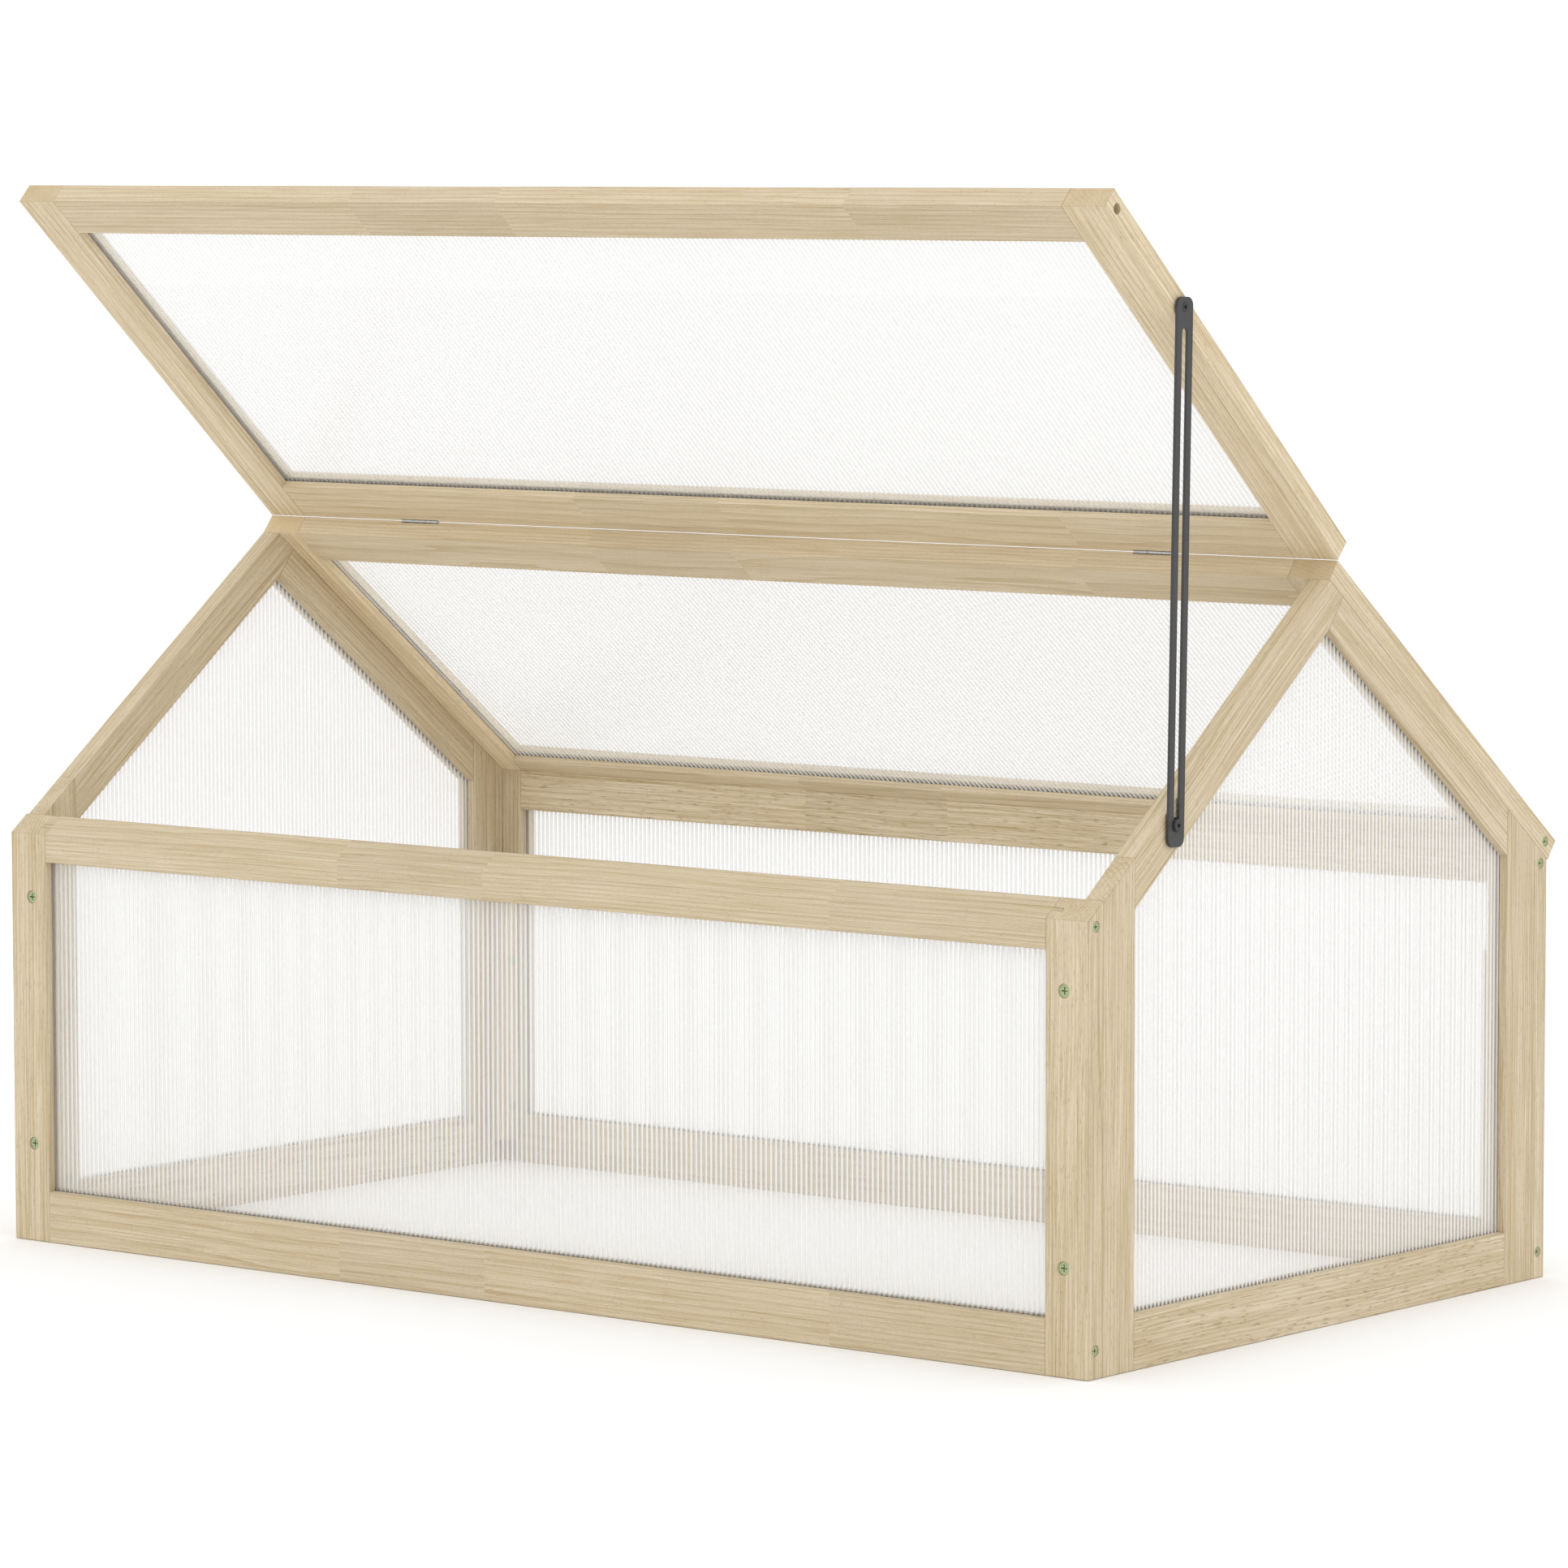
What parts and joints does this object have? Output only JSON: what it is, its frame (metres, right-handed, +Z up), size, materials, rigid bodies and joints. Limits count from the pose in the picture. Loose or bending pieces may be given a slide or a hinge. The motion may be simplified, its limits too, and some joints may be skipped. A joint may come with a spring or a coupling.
{
  "type": "cold frame",
  "caption": "Timber garden cold frame with twin-wall glazed sides, a fixed rear roof, a ridge-hinged lid and a slotted lid stay.",
  "frame": {"origin": "middle of the base on the ground plane", "axes": "+X along the length towards the right-hand gable, -Y to the front where the lid opens, +Z up"},
  "size_m": [1.1056, 0.6248, 0.8676],
  "materials": {
    "timber": "planed, unpainted",
    "polycarbonate": "clear twin-wall sheet with fine upright ribs",
    "screw_steel": "pale green passivated",
    "hinge_steel": "bright zinc plated",
    "stay_metal": "charcoal powder coat",
    "stay_fixings": "black"
  },
  "bodies": {
    "frame": {"front_panel_left_stile": "timber", "front_panel_right_stile": "timber", "front_panel_top_rail": "timber", "front_panel_bottom_rail": "timber", "rear_panel_left_stile": "timber", "rear_panel_right_stile": "timber", "rear_panel_top_rail": "timber", "rear_panel_bottom_rail": "timber", "left_gable_front_post": "timber", "left_gable_rear_post": "timber", "left_gable_bottom_rail": "timber", "left_gable_front_rafter": "timber", "left_gable_rear_rafter": "timber", "right_gable_front_post": "timber", "right_gable_rear_post": "timber", "right_gable_bottom_rail": "timber", "right_gable_front_rafter": "timber", "right_gable_rear_rafter": "timber", "rear_roof_left_stile": "timber", "rear_roof_right_stile": "timber", "rear_roof_ridge_rail": "timber", "rear_roof_eave_rail": "timber", "front_left_corner_batten": "timber", "front_right_corner_batten": "timber", "rear_left_corner_batten": "timber", "rear_right_corner_batten": "timber", "front_panel_glazing": "polycarbonate", "rear_panel_glazing": "polycarbonate", "left_gable_glazing": "polycarbonate", "right_gable_glazing": "polycarbonate", "rear_roof_glazing": "polycarbonate", "front_corner_screws": "screw_steel", "rear_corner_screws": "screw_steel", "front_panel_edge_screws": "screw_steel", "rear_panel_edge_screws": "screw_steel", "rear_roof_edge_screws": "screw_steel", "corner_batten_screws": "screw_steel", "rear_roof_fixing_screws": "screw_steel", "left_hinge_roof_leaf": "hinge_steel", "right_hinge_roof_leaf": "hinge_steel", "left_hinge_pin": "hinge_steel", "right_hinge_pin": "hinge_steel", "hinge_roof_screws": "hinge_steel", "stay_slot_screw": "stay_fixings", "stay_slot_spacer": "stay_fixings"},
    "lid": {"lid_left_stile": "timber", "lid_right_stile": "timber", "lid_hinge_rail": "timber", "lid_free_rail": "timber", "lid_glazing": "polycarbonate", "lid_edge_screws": "screw_steel", "left_hinge_lid_leaf": "hinge_steel", "right_hinge_lid_leaf": "hinge_steel", "hinge_lid_screws": "hinge_steel", "stay_pivot_screw": "stay_fixings", "stay_pivot_spacer": "stay_fixings"},
    "stay": {"stay_strap": "stay_metal"}
  },
  "joints": [
    {"name": "lid_hinge", "type": "hinge", "parent": "frame", "child": "lid", "pos_m": [0, 0.01098, 0.58526], "axis": [1, 0, 0], "range_deg": [0, 79.9]},
    {"name": "stay_pivot", "type": "hinge", "parent": "lid", "child": "stay", "pos_m": [0.553, -0.19317, 0.78053], "axis": [1, 0, 0], "range_deg": [-39.95, 0]}
  ],
  "couplings": [
    {"joint": "stay_pivot", "follows": "lid_hinge", "ratio": -0.5}
  ]
}
